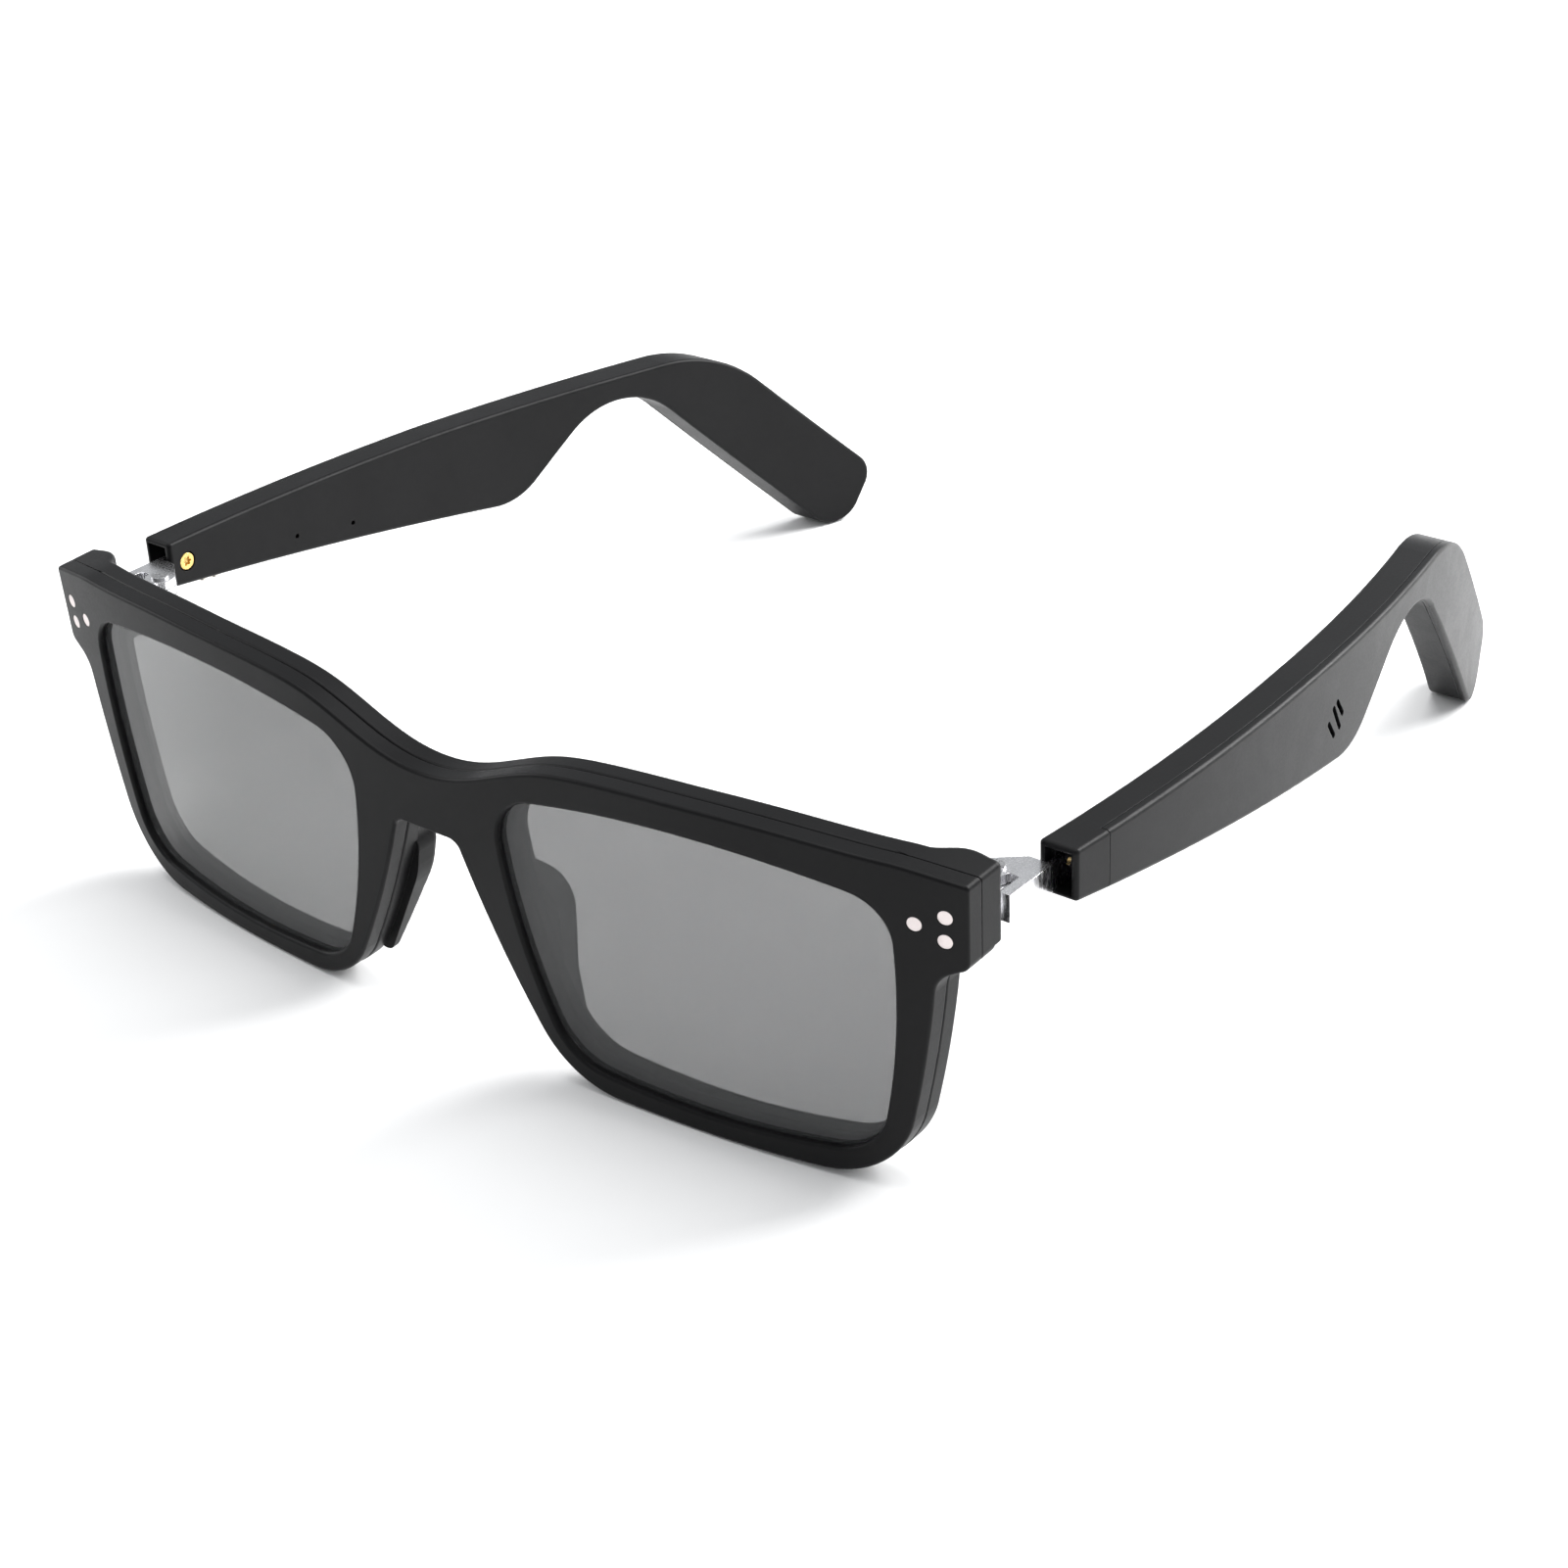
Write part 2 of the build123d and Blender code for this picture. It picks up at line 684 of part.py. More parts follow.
def front_hollow():
    """The dark hollow round the hinge tongue and the slot that grips it."""
    mouth = box(MOUTH_X, (TEMPLE_FRONT - 5, 25.0), MOUTH_Z)
    hollow = box((TONGUE_INNER, MOUTH_X[1]), (24.0, 27.0), MOUTH_Z)
    slot = box((TONGUE_INNER, TONGUE_OUTER), (26.0, TONGUE_BACK + EASE), (BLOCK_BOTTOM, BLOCK_TOP))
    return mouth + hollow + slot


def temple_body():
    body = temple_form() - cover_zone()
    body -= cavity()
    body -= front_hollow()
    body -= extrude(screw_plane(-1) * Circle(SCREW_HEAD_RADIUS + 0.2), 1 + SCREW_HEAD_HEIGHT)
    body -= extrude(screw_plane() * Circle(0.5), TONGUE_OUTER + 0.2 - inner_x(SCREW_PLACE[0]))
    for pin in charging_contacts(0.02):
        body -= pin
    holes_end = temple_slab((inner_x, -2), (inner_x, INNER_WALL + 0.2), (40, 70))
    for hole in microphone_holes():
        body -= hole & holes_end
    return single(body)


def sound_slots():
    slots = []
    for (y1, z1), (y2, z2) in SOUND_SLOTS:
        start = Vector(y1, z1)
        end = Vector(y2, z2)
        face = Plane.YZ * SlotCenterToCenter((end - start).length, SOUND_SLOT_WIDTH)
        middle = (start + end) * 0.5
        angle = math.degrees(math.atan2(z2 - z1, y2 - y1))
        slots.append(Pos(60, middle.X, middle.Y) * Rot(angle, 0, 0) * extrude(face, 30))
    return slots


def temple_cover():
    cover = temple_form() & cover_zone()
    cover -= box((60, 90), (COVER_START - 1, COVER_START + SEAM_WIDTH), (20, 50))
    cover -= seam()
    for slot in sound_slots():
        cover -= slot
    return single(cover)


def temple_screw():
    """A small countersunk screw with a hexagonal socket."""
    head = extrude(screw_plane(0.05) * Circle(SCREW_HEAD_RADIUS), SCREW_HEAD_HEIGHT - 0.05)
    shank = extrude(screw_plane(SCREW_HEAD_HEIGHT) * Circle(0.5), 1.7)
    socket = extrude(screw_plane() * RegularPolygon(0.6, 6), 0.4)
    return single(head + shank - socket)


def circuit_board():
    """A bowed board that follows the cavity, with three chips on its outer side."""
    start = INNER_WALL + MICROPHONE_HEIGHT
    board = side_prism(temple_outline(SHELL_WALL + 0.3)) & temple_slab(
        (inner_x, start), (inner_x, start + BOARD_THICKNESS), (CAVITY_START + 0.5, BOARD_END)
    )
    pieces = [single(board)]
    for place, length, height in (((43, 35), 4, 3), ((51, 33.5), 6, 4.5), ((62, 32.5), 5, 5)):
        lift = MICROPHONE_HEIGHT + BOARD_THICKNESS - 0.1
        pieces.append(wall_place(place) * Pos(lift, 0, 0) * slab_box(length, height, 0.6))
    board = pieces[0]
    for chip in pieces[1:]:
        board += chip
    return single(board)


def microphones():
    """Two small cans on the inner wall behind their sound holes."""
    return Compound(
        children=[wall_place(place) * slab_box(2.6, 1.8, MICROPHONE_HEIGHT - 0.02) for place in MICROPHONES]
    )


def speaker():
    """A flat oval driver in the lobe, with a raised ring towards the slots."""
    length, height = SPEAKER_SIZE
    case = extrude(Plane.YZ * RectangleRounded(length, height, 2.5), SPEAKER_THICKNESS)
    recess = Pos(SPEAKER_THICKNESS - 0.3, 0, 0) * extrude(
        Plane.YZ * RectangleRounded(length - 2, height - 2, 2.0), 1
    )
    return wall_place(SPEAKER_PLACE) * (case - recess)


def speaker_mesh():
    """A fine sheet glued behind the sound slots."""
    sheet = Pos(-0.25, 0, 0) * slab_box(7.0, 6.0, 0.2)
    return cover_place((82.7, 29.7)) * sheet


def battery():
    """A flat cell in the ear hook."""
    length, height = BATTERY_SIZE
    cell = fillet(slab_box(length, height, BATTERY_THICKNESS).edges(), 0.4)
    return wall_place(BATTERY_PLACE) * Pos(0.25, 0, 0) * Rot(HOOK_SLOPE, 0, 0) * cell


def touch_sensor():
    """A thin film inside the cover that feels a finger on its outer face."""
    length, height = TOUCH_SIZE
    return cover_place(TOUCH_PLACE) * Pos(-TOUCH_THICKNESS - 0.15, 0, 0) * slab_box(
        length, height, TOUCH_THICKNESS
    )


# ---- assembly -----------------------------------------------------------------------------


def front_nodes():
    """Front and clip-on, standing on the floor."""
    frame = leaned(main_frame())
    lift = Pos(0, 0, -frame.bounding_box().min.Z)
    frame = lift * frame
    for cut in [hinge_pocket()] + plate_screw_bores():
        for piece in on_both_sides(cut):
            frame -= piece
    left = {
        "main_lens": lens(LENS_HOLD - FRAME_OPENING_INSET, LENS_FRONT, LENS_THICKNESS),
        "frame_magnet": frame_magnet(),
        "clip_lens": lens(LENS_HOLD - EASE, CLIP_LENS_FRONT, CLIP_LENS_THICKNESS),
        "clip_studs": clip_studs(),
    }
    nodes = {"main_frame": single(frame), "clip_frame": lift * leaned(clip_frame())}
    for name, shape in left.items():
        nodes[f"{name}_left"] = lift * leaned(shape)
        nodes[f"{name}_right"] = lift * leaned(mirrored(shape))
    return nodes


def side_nodes():
    """Hinge and temple of one side, and the same mirrored."""
    left = {
        "hinge_plate": hinge_plate(),
        "hinge_plate_screws": plate_screws(),
        "hinge_pin": hinge_pin(),
        "hinge_block": hinge_block(),
        "temple_body": temple_body(),
        "temple_cover": temple_cover(),
        "temple_screw": temple_screw(),
        "circuit_board": circuit_board(),
        "battery": battery(),
        "speaker": speaker(),
        "speaker_mesh": speaker_mesh(),
        "microphones": microphones(),
        "touch_sensor": touch_sensor(),
        "charging_contacts": Compound(children=charging_contacts()),
    }
    nodes = {}
    for name, shape in left.items():
        nodes[f"{name}_left"] = shape
        nodes[f"{name}_right"] = mirrored(shape)
    return nodes


def centred(nodes):
    """Puts the middle of the footprint on the origin, with the floor at Z = 0."""
    boxes = [shape.bounding_box() for shape in nodes.values()]
    front = min(extent.min.Y for extent in boxes)
    back = max(extent.max.Y for extent in boxes)
    low = min(extent.min.Z for extent in boxes)
    shift = Pos(0, -(front + back) / 2, -low)
    return {name: shift * shape for name, shape in nodes.items()}, shift


def build():
    nodes, _ = centred(front_nodes() | side_nodes())
    return nodes


if __name__ == "__main__":
    os.makedirs("parts", exist_ok=True)
    for name, shape in build().items():
        shape.label = name
        export_step(shape, f"parts/{name}.step")
        print(name, round(shape.volume, 2))
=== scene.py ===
"""Smart glasses on a pale floor: finishes, fine pieces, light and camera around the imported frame.

Metres, Z up. +X is the wearer's left, -Y is the way the lenses face.
"""

import json
import math

import bmesh
import bpy
from mathutils import Matrix, Vector


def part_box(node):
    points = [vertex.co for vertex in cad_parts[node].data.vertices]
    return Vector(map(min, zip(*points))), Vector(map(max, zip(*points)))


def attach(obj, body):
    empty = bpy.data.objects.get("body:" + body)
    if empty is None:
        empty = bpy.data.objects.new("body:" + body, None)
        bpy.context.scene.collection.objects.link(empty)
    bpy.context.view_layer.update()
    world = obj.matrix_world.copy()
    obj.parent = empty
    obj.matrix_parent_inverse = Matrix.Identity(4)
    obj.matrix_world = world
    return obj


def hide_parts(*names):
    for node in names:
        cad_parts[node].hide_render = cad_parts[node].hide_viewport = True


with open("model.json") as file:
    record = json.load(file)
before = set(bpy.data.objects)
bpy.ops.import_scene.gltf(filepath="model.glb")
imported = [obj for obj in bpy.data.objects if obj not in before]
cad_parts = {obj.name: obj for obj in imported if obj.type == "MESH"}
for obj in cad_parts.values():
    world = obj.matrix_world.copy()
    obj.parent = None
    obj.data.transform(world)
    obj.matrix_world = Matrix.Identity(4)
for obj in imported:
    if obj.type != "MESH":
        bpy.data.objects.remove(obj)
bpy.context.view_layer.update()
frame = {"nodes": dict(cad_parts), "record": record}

MM = 0.001
SIDES = (("left", 1), ("right", -1))

# Camera: metres, degrees, and millimetres for the lens and its sensor
CAMERA_PLACE = (0.22515, -0.28210, 0.19913)
CAMERA_AZIMUTH = 39.762
CAMERA_ELEVATION = 28.847
CAMERA_ROLL = -2.84
CAMERA_LENS = 67.46
CAMERA_SENSOR = 36.0

# Stage: metres and watts. Each lamp is a name, a place, a target, a size and a power.
FLOOR_HALF_WIDTH = 4.0
SKY_COLOUR = (0.96, 0.98, 1.0)
SKY_STRENGTH = 0.55
LAMPS = (
    ("top_lamp", (-0.1, 0.1, 1.3), (0, 0, 0), 1.1, 10.0),
    ("left_lamp", (-1.1, -0.25, 0.5), (0, -0.03, 0.02), 0.7, 4.0),
    ("back_lamp", (0.25, 0.47, 0.36), (0.12, 0.14, 0), 0.45, 8.0),
)

# Finishes: specular levels, and the refractive index of the lenses
PLASTIC_SHINE = 0.12
FLOOR_SHINE = 0.2
LENS_IOR = 1.5

# Small pieces, in millimetres
SCREW_HEAD_RADIUS = 1.2
SCREW_HEAD_HEIGHT = 0.5
SCREW_SHANK_RADIUS = 0.5
SCREW_LENGTH = 1.55
SCREW_RECESS_RADIUS = 0.56
SCREW_RECESS_DEPTH = 0.40
SCREW_LOBES = 6
SCREW_LOBE_DEPTH = 0.13
# The dark rings round the clip discs are painted shadow of the gap at each disc's edge
DISC_SHADOW_RING_WIDTH = 0.09
DISC_SHADOW_RING_HEIGHT = 0.05
DISC_SHADOW_RING_GAP = 0.02
CONTACT_RING_WIDTH = 0.16
CONTACT_RING_HEIGHT = 0.16
CONTACT_RING_GAP = 0.01
CONTACT_RING_RISE = 0.38

# Points round each turned piece, and round the cross-section of a ring
SCREW_POINTS = 96
DISC_SHADOW_RING_POINTS = 64
CONTACT_RING_POINTS = 48
BEAD_POINTS = 10


# ---- node helpers -------------------------------------------------------------------------


def new_finish(name):
    """A new node material with its node tree and its Principled shader."""
    material = bpy.data.materials.new(name)
    material.use_nodes = True
    tree = material.node_tree
    return material, tree, tree.nodes["Principled BSDF"]


def add_node(tree, kind, inputs=(), **settings):
    """Adds a node; inputs pairs socket names with plain values or with the sockets that feed them."""
    node = tree.nodes.new(kind)
    for key, value in settings.items():
        setattr(node, key, value)
    for name, value in dict(inputs).items():
        socket = node.inputs[name]
        if isinstance(value, bpy.types.NodeSocket):
            tree.links.new(value, socket)
        else:
            socket.default_value = value
    return node


def stretched_coordinates(tree, stretch):
    """Coordinates of the object at rest, in metres, scaled along each axis."""
    place = add_node(tree, "ShaderNodeTexCoord").outputs["Object"]
    return add_node(tree, "ShaderNodeMapping", {"Vector": place, "Scale": stretch}).outputs["Vector"]


def noise(tree, grain_mm, detail=3.0, stretch=(1, 1, 1), distortion=0.0):
    """Soft noise whose grains are about grain_mm wide."""
    inputs = {
        "Vector": stretched_coordinates(tree, stretch),
        "Scale": 1 / (grain_mm * MM),
        "Detail": detail,
        "Distortion": distortion,
    }
    return add_node(tree, "ShaderNodeTexNoise", inputs).outputs["Fac"]


def specks(tree, spacing_mm, radius_share):
    """1 on scattered round specks, 0 between them."""
    inputs = {"Vector": stretched_coordinates(tree, (1, 1, 1)), "Scale": 1 / (spacing_mm * MM)}
    distance = add_node(tree, "ShaderNodeTexVoronoi", inputs).outputs["Distance"]
    return graded(tree, distance, (radius_share, radius_share * 0.5), (0.0, 1.0))


def graded(tree, value, source, target):
    """Maps a value smoothly from one range to another, and holds it at the ends."""
    inputs = {
        "Value": value,
        "From Min": source[0],
        "From Max": source[1],
        "To Min": target[0],
        "To Max": target[1],
    }
    node = add_node(tree, "ShaderNodeMapRange", inputs, interpolation_type="SMOOTHSTEP")
    return node.outputs["Result"]


def product(tree, first, second):
    """First times second; each is a number or a socket."""
    node = add_node(tree, "ShaderNodeMath", operation="MULTIPLY")
    for socket, value in zip(node.inputs, (first, second)):
        if isinstance(value, bpy.types.NodeSocket):
            tree.links.new(value, socket)
        else:
            socket.default_value = value
    return node.outputs["Value"]


def total(tree, first, second):
    """The sum of two sockets, held between 0 and 1."""
    node = add_node(tree, "ShaderNodeMath", operation="ADD", use_clamp=True)
    tree.links.new(first, node.inputs[0])
    tree.links.new(second, node.inputs[1])
    return node.outputs["Value"]


def mixed_colour(tree, share, first, second):
    """A colour between two others; each is a colour or a socket."""
    node = add_node(tree, "ShaderNodeMix", data_type="RGBA")
    tree.links.new(share, node.inputs["Factor"])
    # The node has sockets of the same names for every data type: 6, 7 and 2 are the colour ones.
    for socket, value in zip((node.inputs[6], node.inputs[7]), (first, second)):
        if isinstance(value, bpy.types.NodeSocket):
            tree.links.new(value, socket)
        else:
            socket.default_value = (*value, 1.0)
    return node.outputs[2]


def soft_normal(tree, radius_mm):
    """Normals that round every sharp edge by a small radius."""
    return add_node(tree, "ShaderNodeBevel", {"Radius": radius_mm * MM}, samples=4).outputs["Normal"]


def edge_share(tree, radius_mm):
    """1 along sharp edges, 0 on open faces."""
    rounded = soft_normal(tree, radius_mm)
    true = add_node(tree, "ShaderNodeNewGeometry").outputs["Normal"]
    dot = add_node(tree, "ShaderNodeVectorMath", operation="DOT_PRODUCT")
    tree.links.new(rounded, dot.inputs[0])
    tree.links.new(true, dot.inputs[1])
    return graded(tree, dot.outputs["Value"], (1.0, 0.9), (0.0, 1.0))


def bumped(tree, height, depth_mm, normal):
    """Normals of a surface whose height varies by depth_mm."""
    inputs = {"Height": height, "Distance": depth_mm * MM, "Strength": 1.0, "Normal": normal}
    return add_node(tree, "ShaderNodeBump", inputs).outputs["Normal"]


# ---- finishes -----------------------------------------------------------------------------


def satin_plastic(name, colour, roughness, edge_mm=0.12):
    """Black moulded plastic: fine grain, faint blotches, handling marks, and polished edges whose
    colour is lightened, partly as wear and partly as a painted highlight.
    """
    material, tree, shader = new_finish(name)
    blotches = noise(tree, 14.0, 4.0)
    patches = graded(tree, noise(tree, 2.5), (0.35, 0.7), (0.3, 1.0))
    # Edge mask for the lighter edge colour (2.6 times the base): partly edge wear, partly a painted
    # highlight where the edges catch the light; it also lowers the roughness there.
    edge_wear_and_highlight = product(tree, edge_share(tree, edge_mm), patches)
    pale = tuple(channel * 1.25 for channel in colour)
    bright = tuple(channel * 2.6 for channel in colour)
    base = mixed_colour(tree, graded(tree, blotches, (0.3, 0.7), (0.0, 1.0)), colour, pale)
    tree.links.new(mixed_colour(tree, edge_wear_and_highlight, base, bright), shader.inputs["Base Color"])
    handled = graded(tree, noise(tree, 7.0, 5.0, distortion=1.5), (0.40, 0.64), (0.012, -0.012))
    fine = graded(tree, noise(tree, 0.35, 2.0), (0.2, 0.8), (roughness - 0.02, roughness + 0.03))
    rough = total(tree, fine, handled)
    polished = graded(tree, edge_wear_and_highlight, (0.0, 1.0), (1.0, 0.78))
    tree.links.new(product(tree, rough, polished), shader.inputs["Roughness"])
    grain = bumped(tree, noise(tree, 0.16, 2.0), 0.006, soft_normal(tree, edge_mm))
    tree.links.new(grain, shader.inputs["Normal"])
    shader.inputs["Specular IOR Level"].default_value = PLASTIC_SHINE
    return material


def lens_plastic(name, colour, opacity, roughness):
    """A see-through lens with a faint film of wear, dust specks and fine wipe marks."""
    material, tree, shader = new_finish(name)
    patches = graded(tree, noise(tree, 9.0), (0.45, 0.6), (0.0, 1.0))
    dust = product(tree, specks(tree, 3.4, 0.045), patches)
    dusty = tuple(min(1.0, channel * 2.2 + 0.1) for channel in colour)
    pale = tuple(channel * 1.12 for channel in colour)
    haze = mixed_colour(tree, noise(tree, 11.0, 4.0), colour, pale)
    tree.links.new(mixed_colour(tree, dust, haze, dusty), shader.inputs["Base Color"])
    wipes = noise(tree, 1.2, 3.0, stretch=(0.12, 0.12, 1.0))
    rough = graded(tree, wipes, (0.3, 0.8), (roughness, roughness + 0.05))
    tree.links.new(rough, shader.inputs["Roughness"])
    wave = bumped(tree, noise(tree, 18.0, 1.0), 0.004, soft_normal(tree, 0.08))
    tree.links.new(wave, shader.inputs["Normal"])
    shader.inputs["Alpha"].default_value = opacity
    shader.inputs["IOR"].default_value = LENS_IOR
    return material


def worked_metal(name, colour, roughness, lay=(1, 1, 1), lay_mm=0.25, edge_mm=0.08):
    """Metal with the fine lines of its finishing, faint stains and brighter edges."""
    material, tree, shader = new_finish(name)
    lines = noise(tree, lay_mm, 4.0, stretch=lay)
    stains = graded(tree, noise(tree, 1.8, 4.0), (0.35, 0.75), (0.0, 1.0))
    dull = tuple(channel * 0.85 for channel in colour)
    base = mixed_colour(tree, stains, colour, dull)
    bright = tuple(min(1.0, channel * 1.25) for channel in colour)
    edges = edge_share(tree, edge_mm)
    tree.links.new(mixed_colour(tree, edges, base, bright), shader.inputs["Base Color"])
    rough = graded(tree, lines, (0.25, 0.75), (roughness * 0.75, roughness * 1.3))
    tree.links.new(rough, shader.inputs["Roughness"])
    normal = bumped(tree, lines, 0.0012, soft_normal(tree, edge_mm))
    tree.links.new(normal, shader.inputs["Normal"])
    shader.inputs["Metallic"].default_value = 1.0
    return material


def circuit_finish(name):
    """Green solder mask with copper runs that show through as paler lines."""
    material, tree, shader = new_finish(name)
    inputs = {
        "Vector": stretched_coordinates(tree, (1, 1, 1)),
        "Scale": 260.0,
        "Distortion": 6.0,
        "Detail": 1.0,
    }
    runs = add_node(tree, "ShaderNodeTexWave", inputs).outputs["Fac"]
    lines = graded(tree, runs, (0.75, 0.9), (0.0, 1.0))
    colour = mixed_colour(tree, lines, (0.010, 0.075, 0.030), (0.030, 0.150, 0.060))
    tree.links.new(colour, shader.inputs["Base Color"])
    rough = graded(tree, noise(tree, 0.8), (0.3, 0.7), (0.25, 0.4))
    tree.links.new(rough, shader.inputs["Roughness"])
    normal = bumped(tree, lines, 0.02, soft_normal(tree, 0.06))
    tree.links.new(normal, shader.inputs["Normal"])
    return material


def woven_mesh(name):
    """A fine dark wire cloth."""
    material, tree, shader = new_finish(name)
    wires = []
    for direction in ("Y", "Z"):
        wave = add_node(
            tree,
            "ShaderNodeTexWave",
            {"Vector": stretched_coordinates(tree, (1, 1, 1)), "Scale": 1100.0},
            bands_direction=direction,
        )
        wires.append(wave.outputs["Fac"])
    weave = product(tree, *wires)
    colour = mixed_colour(tree, weave, (0.004, 0.004, 0.004), (0.05, 0.05, 0.052))
    tree.links.new(colour, shader.inputs["Base Color"])
    tree.links.new(graded(tree, weave, (0, 1), (0.75, 0.45)), shader.inputs["Roughness"])
    geometry = add_node(tree, "ShaderNodeNewGeometry").outputs["Normal"]
    tree.links.new(bumped(tree, weave, 0.05, geometry), shader.inputs["Normal"])
    return material


def pale_floor(name):
    """Plain pale sweep with the faintest unevenness."""
    material, tree, shader = new_finish(name)
    mottle = noise(tree, 90.0, 4.0)
    base = mixed_colour(tree, mottle, (0.93, 0.93, 0.93), (0.95, 0.95, 0.95))
    tree.links.new(base, shader.inputs["Base Color"])
    tree.links.new(graded(tree, mottle, (0.2, 0.8), (0.75, 0.85)), shader.inputs["Roughness"])
    geometry = add_node(tree, "ShaderNodeNewGeometry").outputs["Normal"]
    tree.links.new(bumped(tree, noise(tree, 12.0, 1.0), 0.01, geometry), shader.inputs["Normal"])
    shader.inputs["Specular IOR Level"].default_value = FLOOR_SHINE
    return material


def make_finishes():
    """One finish for each material slot of the record."""
    return {
        "frame_plastic": satin_plastic("frame_plastic", (0.0052, 0.0052, 0.0056), 0.38),
        "clip_plastic": satin_plastic("clip_plastic", (0.0044, 0.0044, 0.0048), 0.37),
        "temple_plastic": satin_plastic("temple_plastic", (0.0056, 0.0056, 0.0060), 0.38),
        "cover_plastic": satin_plastic("cover_plastic", (0.0062, 0.0062, 0.0066), 0.36),
        "clear_lens": lens_plastic("clear_lens", (0.35, 0.36, 0.36), 0.04, 0.03),
        "tinted_lens": lens_plastic("tinted_lens", (0.050, 0.051, 0.052), 0.63, 0.05),
        "magnet_metal": worked_metal("magnet_metal", (0.60, 0.60, 0.62), 0.30),
        "disc_metal": worked_metal("disc_metal", (0.66, 0.60, 0.59), 0.36, lay_mm=0.12),
        "hinge_steel": worked_metal("hinge_steel", (0.82, 0.82, 0.84), 0.24, lay=(1, 1, 0.12)),
        "screw_steel": worked_metal("screw_steel", (0.52, 0.52, 0.53), 0.30),
        "screw_brass": worked_metal("screw_brass", (0.86, 0.60, 0.22), 0.28),
        "contact_metal": worked_metal("contact_metal", (0.78, 0.74, 0.66), 0.20),
        "board": circuit_finish("board"),
        "battery_foil": worked_metal("battery_foil", (0.62, 0.63, 0.65), 0.35, lay=(1, 0.2, 1)),
        "speaker_case": satin_plastic("speaker_case", (0.012, 0.012, 0.012), 0.5),
        "mesh_metal": woven_mesh("mesh_metal"),
        "can_metal": worked_metal("can_metal", (0.66, 0.66, 0.64), 0.32),
        "touch_film": lens_plastic("touch_film", (0.45, 0.28, 0.08), 0.6, 0.15),
        "seal_rubber": satin_plastic("seal_rubber", (0.0040, 0.0040, 0.0042), 0.55, edge_mm=0.02),
    }


def dress_cad_nodes(finishes):
    """Gives each CAD node the finish of its slot."""
    for entry in frame["record"]["subparts"]:
        node = frame["nodes"][entry["node"]]
        node.data.materials.clear()
        node.data.materials.append(finishes[entry["material_slot"]])


# ---- fine pieces --------------------------------------------------------------------------


def ring_of_points(mesh, radius_at, height, count):
    """One closed ring of vertices; radius_at gives the radius for an angle, in millimetres."""
    ring = []
    for index in range(count):
        angle = 2 * math.pi * index / count
        radius = radius_at(angle) * MM
        ring.append(mesh.verts.new((radius * math.cos(angle), radius * math.sin(angle), height * MM)))
    return ring


def turned_mesh(name, sections, count, closed=False):
    """A mesh through stacked rings, each given as (radius function or number, height)."""
    mesh = bmesh.new()
    rings = []
    for radius, height in sections:
        radius_at = radius if callable(radius) else (lambda angle, fixed=radius: fixed)
        rings.append(ring_of_points(mesh, radius_at, height, count))
    pairs = list(zip(rings, rings[1:]))
    if closed:
        pairs.append((rings[-1], rings[0]))
    else:
        mesh.faces.new(list(reversed(rings[0])))
        mesh.faces.new(rings[-1])
    for low, high in pairs:
        for index in range(count):
            following = (index + 1) % count
            mesh.faces.new((low[index], low[following], high[following], high[index]))
    bmesh.ops.recalc_face_normals(mesh, faces=mesh.faces)
    data = bpy.data.meshes.new(name)
    mesh.to_mesh(data)
    mesh.free()
    return data


def placed(name, data, centre, outwards, finish, body):
    """Puts a turned mesh in place with its own Z along outwards, and hangs it on a body."""
    piece = bpy.data.objects.new(name, data)
    bpy.context.scene.collection.objects.link(piece)
    turn = Vector(outwards).to_track_quat("Z", "Y").to_matrix().to_4x4()
    piece.data.transform(Matrix.Translation(centre) @ turn)
    piece.data.materials.append(finish)
    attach(piece, body)
    return piece


def lobed_radius(angle):
    """Edge of the lobed recess in the temple screw."""
    return SCREW_RECESS_RADIUS + SCREW_LOBE_DEPTH * math.cos(SCREW_LOBES * angle)


def make_temple_screws(finishes):
    """Brass screws with a lobed recess, in the inner faces of the temples."""
    sections = [
        (SCREW_SHANK_RADIUS, -SCREW_LENGTH),
        (SCREW_SHANK_RADIUS, -SCREW_HEAD_HEIGHT),
        (SCREW_HEAD_RADIUS, -SCREW_HEAD_HEIGHT),
        (SCREW_HEAD_RADIUS, -0.10),
        (SCREW_HEAD_RADIUS - 0.03, -0.03),
        (SCREW_HEAD_RADIUS - 0.10, 0.0),
        (lambda angle: lobed_radius(angle) + 0.06, 0.0),
        (lambda angle: lobed_radius(angle) + 0.01, -0.03),
        (lobed_radius, -0.08),
        (lambda angle: lobed_radius(angle) * 0.94, -SCREW_RECESS_DEPTH),
        (lambda angle: lobed_radius(angle) * 0.30, -SCREW_RECESS_DEPTH - 0.06),
    ]
    for side, sign in SIDES:
        node = f"temple_screw_{side}"
        low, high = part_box(node)
        head_x = low.x if sign > 0 else high.x
        centre = Vector((head_x, (low.y + high.y) / 2, (low.z + high.z) / 2))
        data = turned_mesh(f"lobed_screw_{side}", sections, SCREW_POINTS)
        screw = placed(
            f"lobed_screw_{side}",
            data,
            centre,
            (-sign, 0, 0),
            finishes["screw_brass"],
            f"temple_{side}",
        )
        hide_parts(node)


def flat_ends(node, direction):
    """Centre, normal and radius of each separate face patch of a node that looks along direction."""
    mesh = bmesh.new()
    mesh.from_mesh(frame["nodes"][node].data)
    bmesh.ops.remove_doubles(mesh, verts=mesh.verts, dist=0.002 * MM)
    towards = Vector(direction)
    waiting = {face for face in mesh.faces if face.normal.dot(towards) > 0.9}
    ends = []
    while waiting:
        patch = [waiting.pop()]
        for face in patch:
            for edge in face.edges:
                for neighbour in edge.link_faces:
                    if neighbour in waiting:
                        waiting.remove(neighbour)
                        patch.append(neighbour)
        area = sum(face.calc_area() for face in patch)
        centre = sum((face.calc_center_median() * face.calc_area() for face in patch), Vector()) / area
        normal = sum((face.normal * face.calc_area() for face in patch), Vector()).normalized()
        ends.append((centre, normal, math.sqrt(area / math.pi) / MM))
    mesh.free()
    return ends


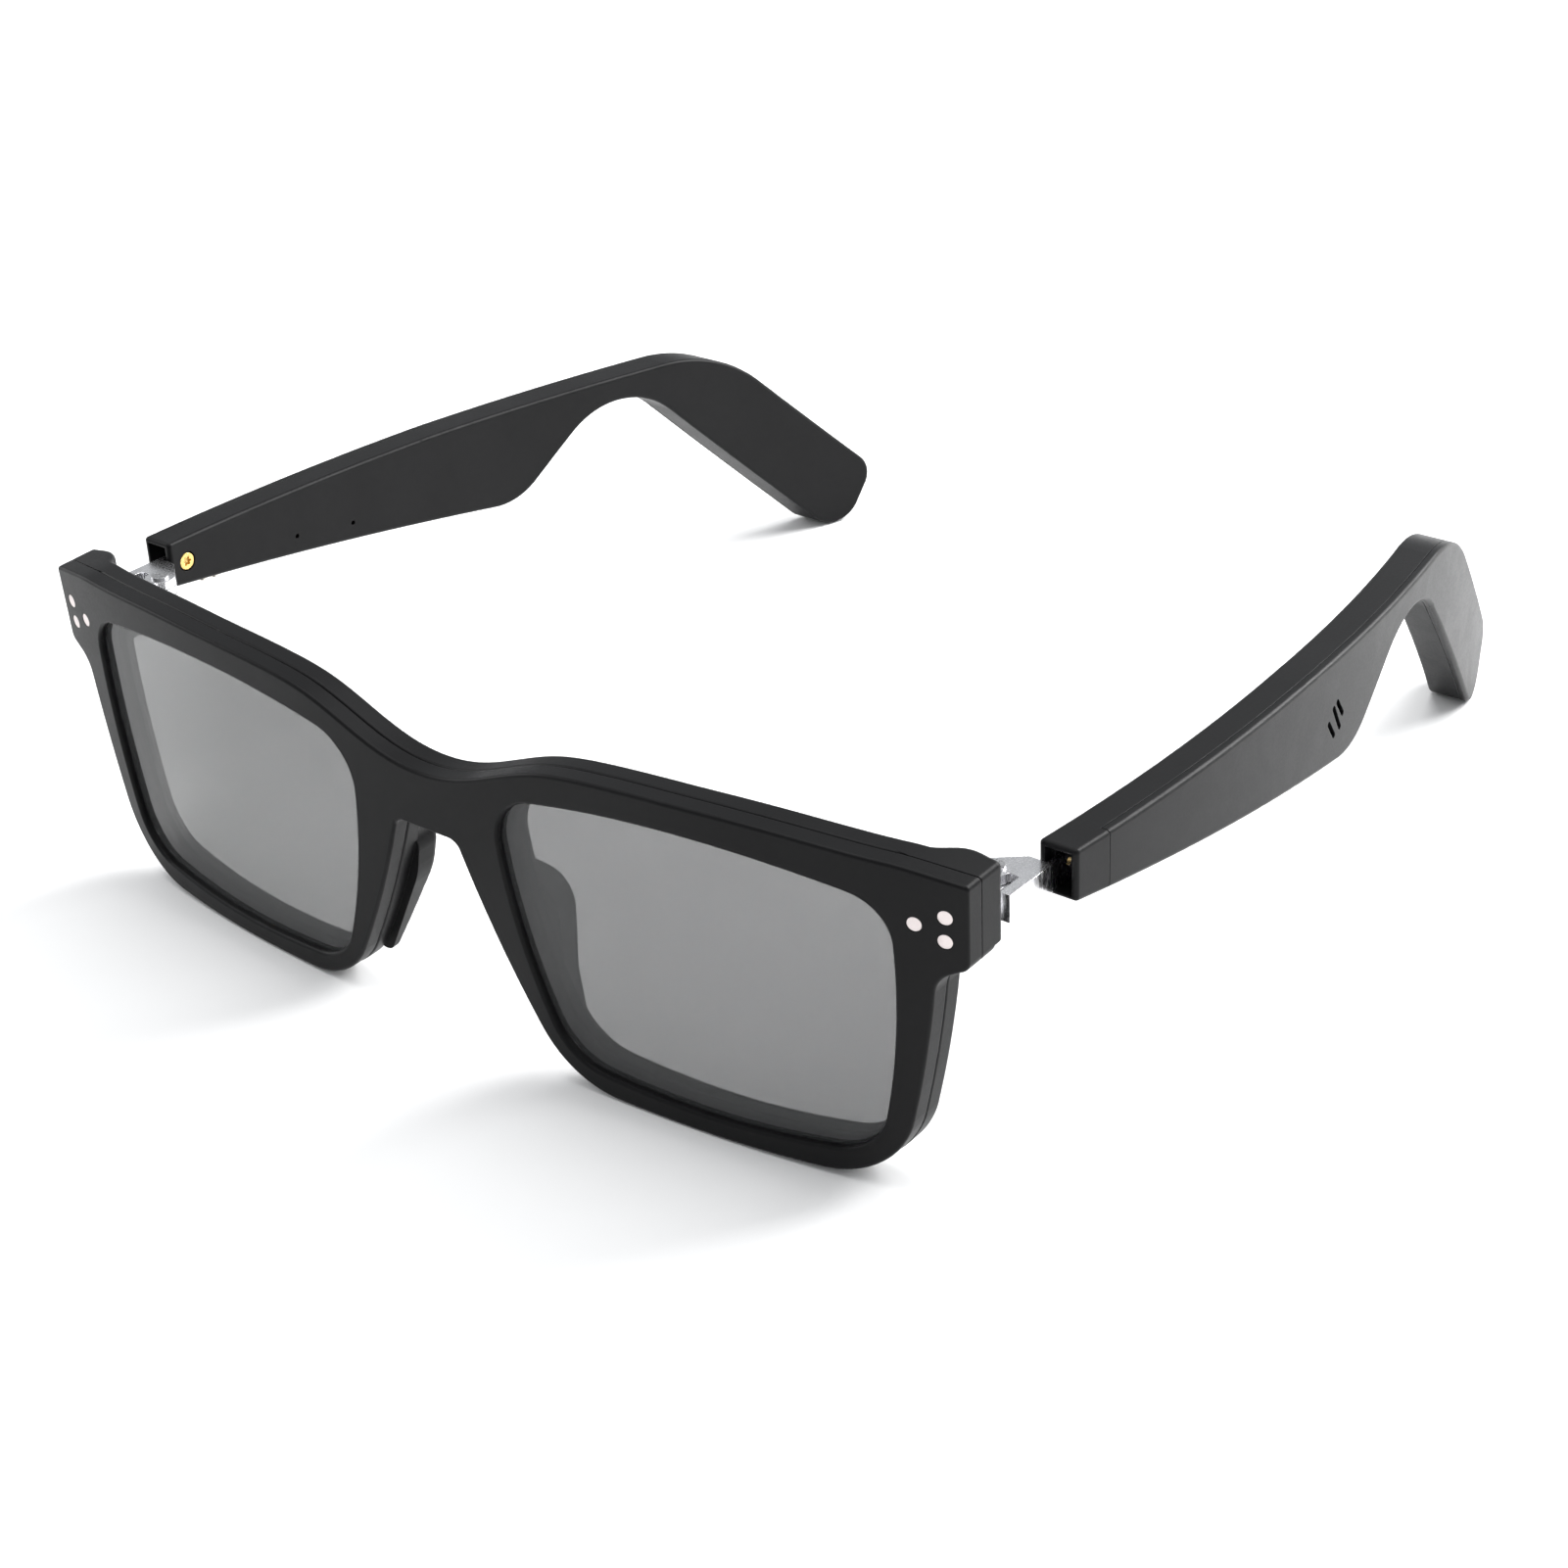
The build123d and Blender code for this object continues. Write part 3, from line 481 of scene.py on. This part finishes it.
def bead(radius, width, height):
    """Rounded cross-section of a ring, as turned sections in millimetres."""
    middle = radius + width / 2
    sections = []
    for index in range(BEAD_POINTS):
        angle = 2 * math.pi * index / BEAD_POINTS
        sections.append((middle + width / 2 * math.cos(angle), height / 2 * math.sin(angle)))
    return sections


def make_disc_shadow_rings(finishes):
    """A hair-thin dark ring round each disc of the clip-on: painted shadow of the gap at the disc's
    edge.
    """
    for side, _ in SIDES:
        discs = flat_ends(f"clip_studs_{side}", (0, -1, 0))
        discs.sort(key=lambda disc: (round(disc[0].z, 5), disc[0].x))
        for index, (centre, normal, radius) in enumerate(discs):
            name = f"disc_shadow_ring_{side}_{index}"
            sections = bead(radius + DISC_SHADOW_RING_GAP, DISC_SHADOW_RING_WIDTH, DISC_SHADOW_RING_HEIGHT)
            data = turned_mesh(name, sections, DISC_SHADOW_RING_POINTS, closed=True)
            # A black seal_rubber ring laid in as painted shadow round the disc
            placed(name, data, centre, normal, finishes["seal_rubber"], "clip_on")


def make_contact_rings(finishes):
    """A thin collar round each charging contact where it leaves the temple."""
    for side, _ in SIDES:
        contacts = flat_ends(f"charging_contacts_{side}", (0, 0, -1))
        contacts.sort(key=lambda contact: contact[0].y)
        for index, (centre, normal, radius) in enumerate(contacts):
            name = f"contact_ring_{side}_{index}"
            sections = bead(radius + CONTACT_RING_GAP, CONTACT_RING_WIDTH, CONTACT_RING_HEIGHT)
            data = turned_mesh(name, sections, CONTACT_RING_POINTS, closed=True)
            base = centre + Vector((0, 0, CONTACT_RING_RISE * MM))
            placed(name, data, base, normal, finishes["seal_rubber"], f"temple_{side}")


# ---- stage --------------------------------------------------------------------------------


def make_floor():
    """A wide flat sweep under the glasses."""
    mesh = bmesh.new()
    bmesh.ops.create_grid(mesh, x_segments=8, y_segments=8, size=FLOOR_HALF_WIDTH)
    data = bpy.data.meshes.new("floor")
    mesh.to_mesh(data)
    mesh.free()
    floor = bpy.data.objects.new("floor", data)
    bpy.context.scene.collection.objects.link(floor)
    data.materials.append(pale_floor("floor"))


def make_softbox(name, place, target, size, power):
    """A square white lamp aimed at a point, unseen by the camera itself."""
    light = bpy.data.lights.new(name, "AREA")
    light.shape = "SQUARE"
    light.size = size
    light.energy = power
    lamp = bpy.data.objects.new(name, light)
    bpy.context.scene.collection.objects.link(lamp)
    lamp.visible_camera = False
    lamp.location = place
    lamp.rotation_euler = (Vector(target) - Vector(place)).to_track_quat("-Z", "Y").to_euler()


def make_light():
    """A pale sky and the soft lamps."""
    world = bpy.data.worlds.new("studio")
    world.use_nodes = True
    sky = world.node_tree.nodes["Background"]
    sky.inputs["Color"].default_value = (*SKY_COLOUR, 1.0)
    sky.inputs["Strength"].default_value = SKY_STRENGTH
    bpy.context.scene.world = world
    for lamp in LAMPS:
        make_softbox(*lamp)


def make_camera():
    """The camera that sees the glasses from the wearer's front left."""
    camera = bpy.data.objects.new("camera", bpy.data.cameras.new("camera"))
    bpy.context.scene.collection.objects.link(camera)
    camera.data.lens = CAMERA_LENS
    camera.data.sensor_width = CAMERA_SENSOR
    camera.data.clip_start = 0.01
    camera.data.clip_end = 50.0
    pan = Matrix.Rotation(math.radians(CAMERA_AZIMUTH), 4, "Z")
    tilt = Matrix.Rotation(math.radians(90 - CAMERA_ELEVATION), 4, "X")
    roll = Matrix.Rotation(math.radians(CAMERA_ROLL), 4, "Z")
    camera.matrix_world = Matrix.Translation(CAMERA_PLACE) @ pan @ tilt @ roll
    bpy.context.scene.camera = camera


all_finishes = make_finishes()
dress_cad_nodes(all_finishes)
make_temple_screws(all_finishes)
make_disc_shadow_rings(all_finishes)
make_contact_rings(all_finishes)
make_floor()
make_light()
make_camera()
bpy.context.scene.view_settings.view_transform = "Standard"
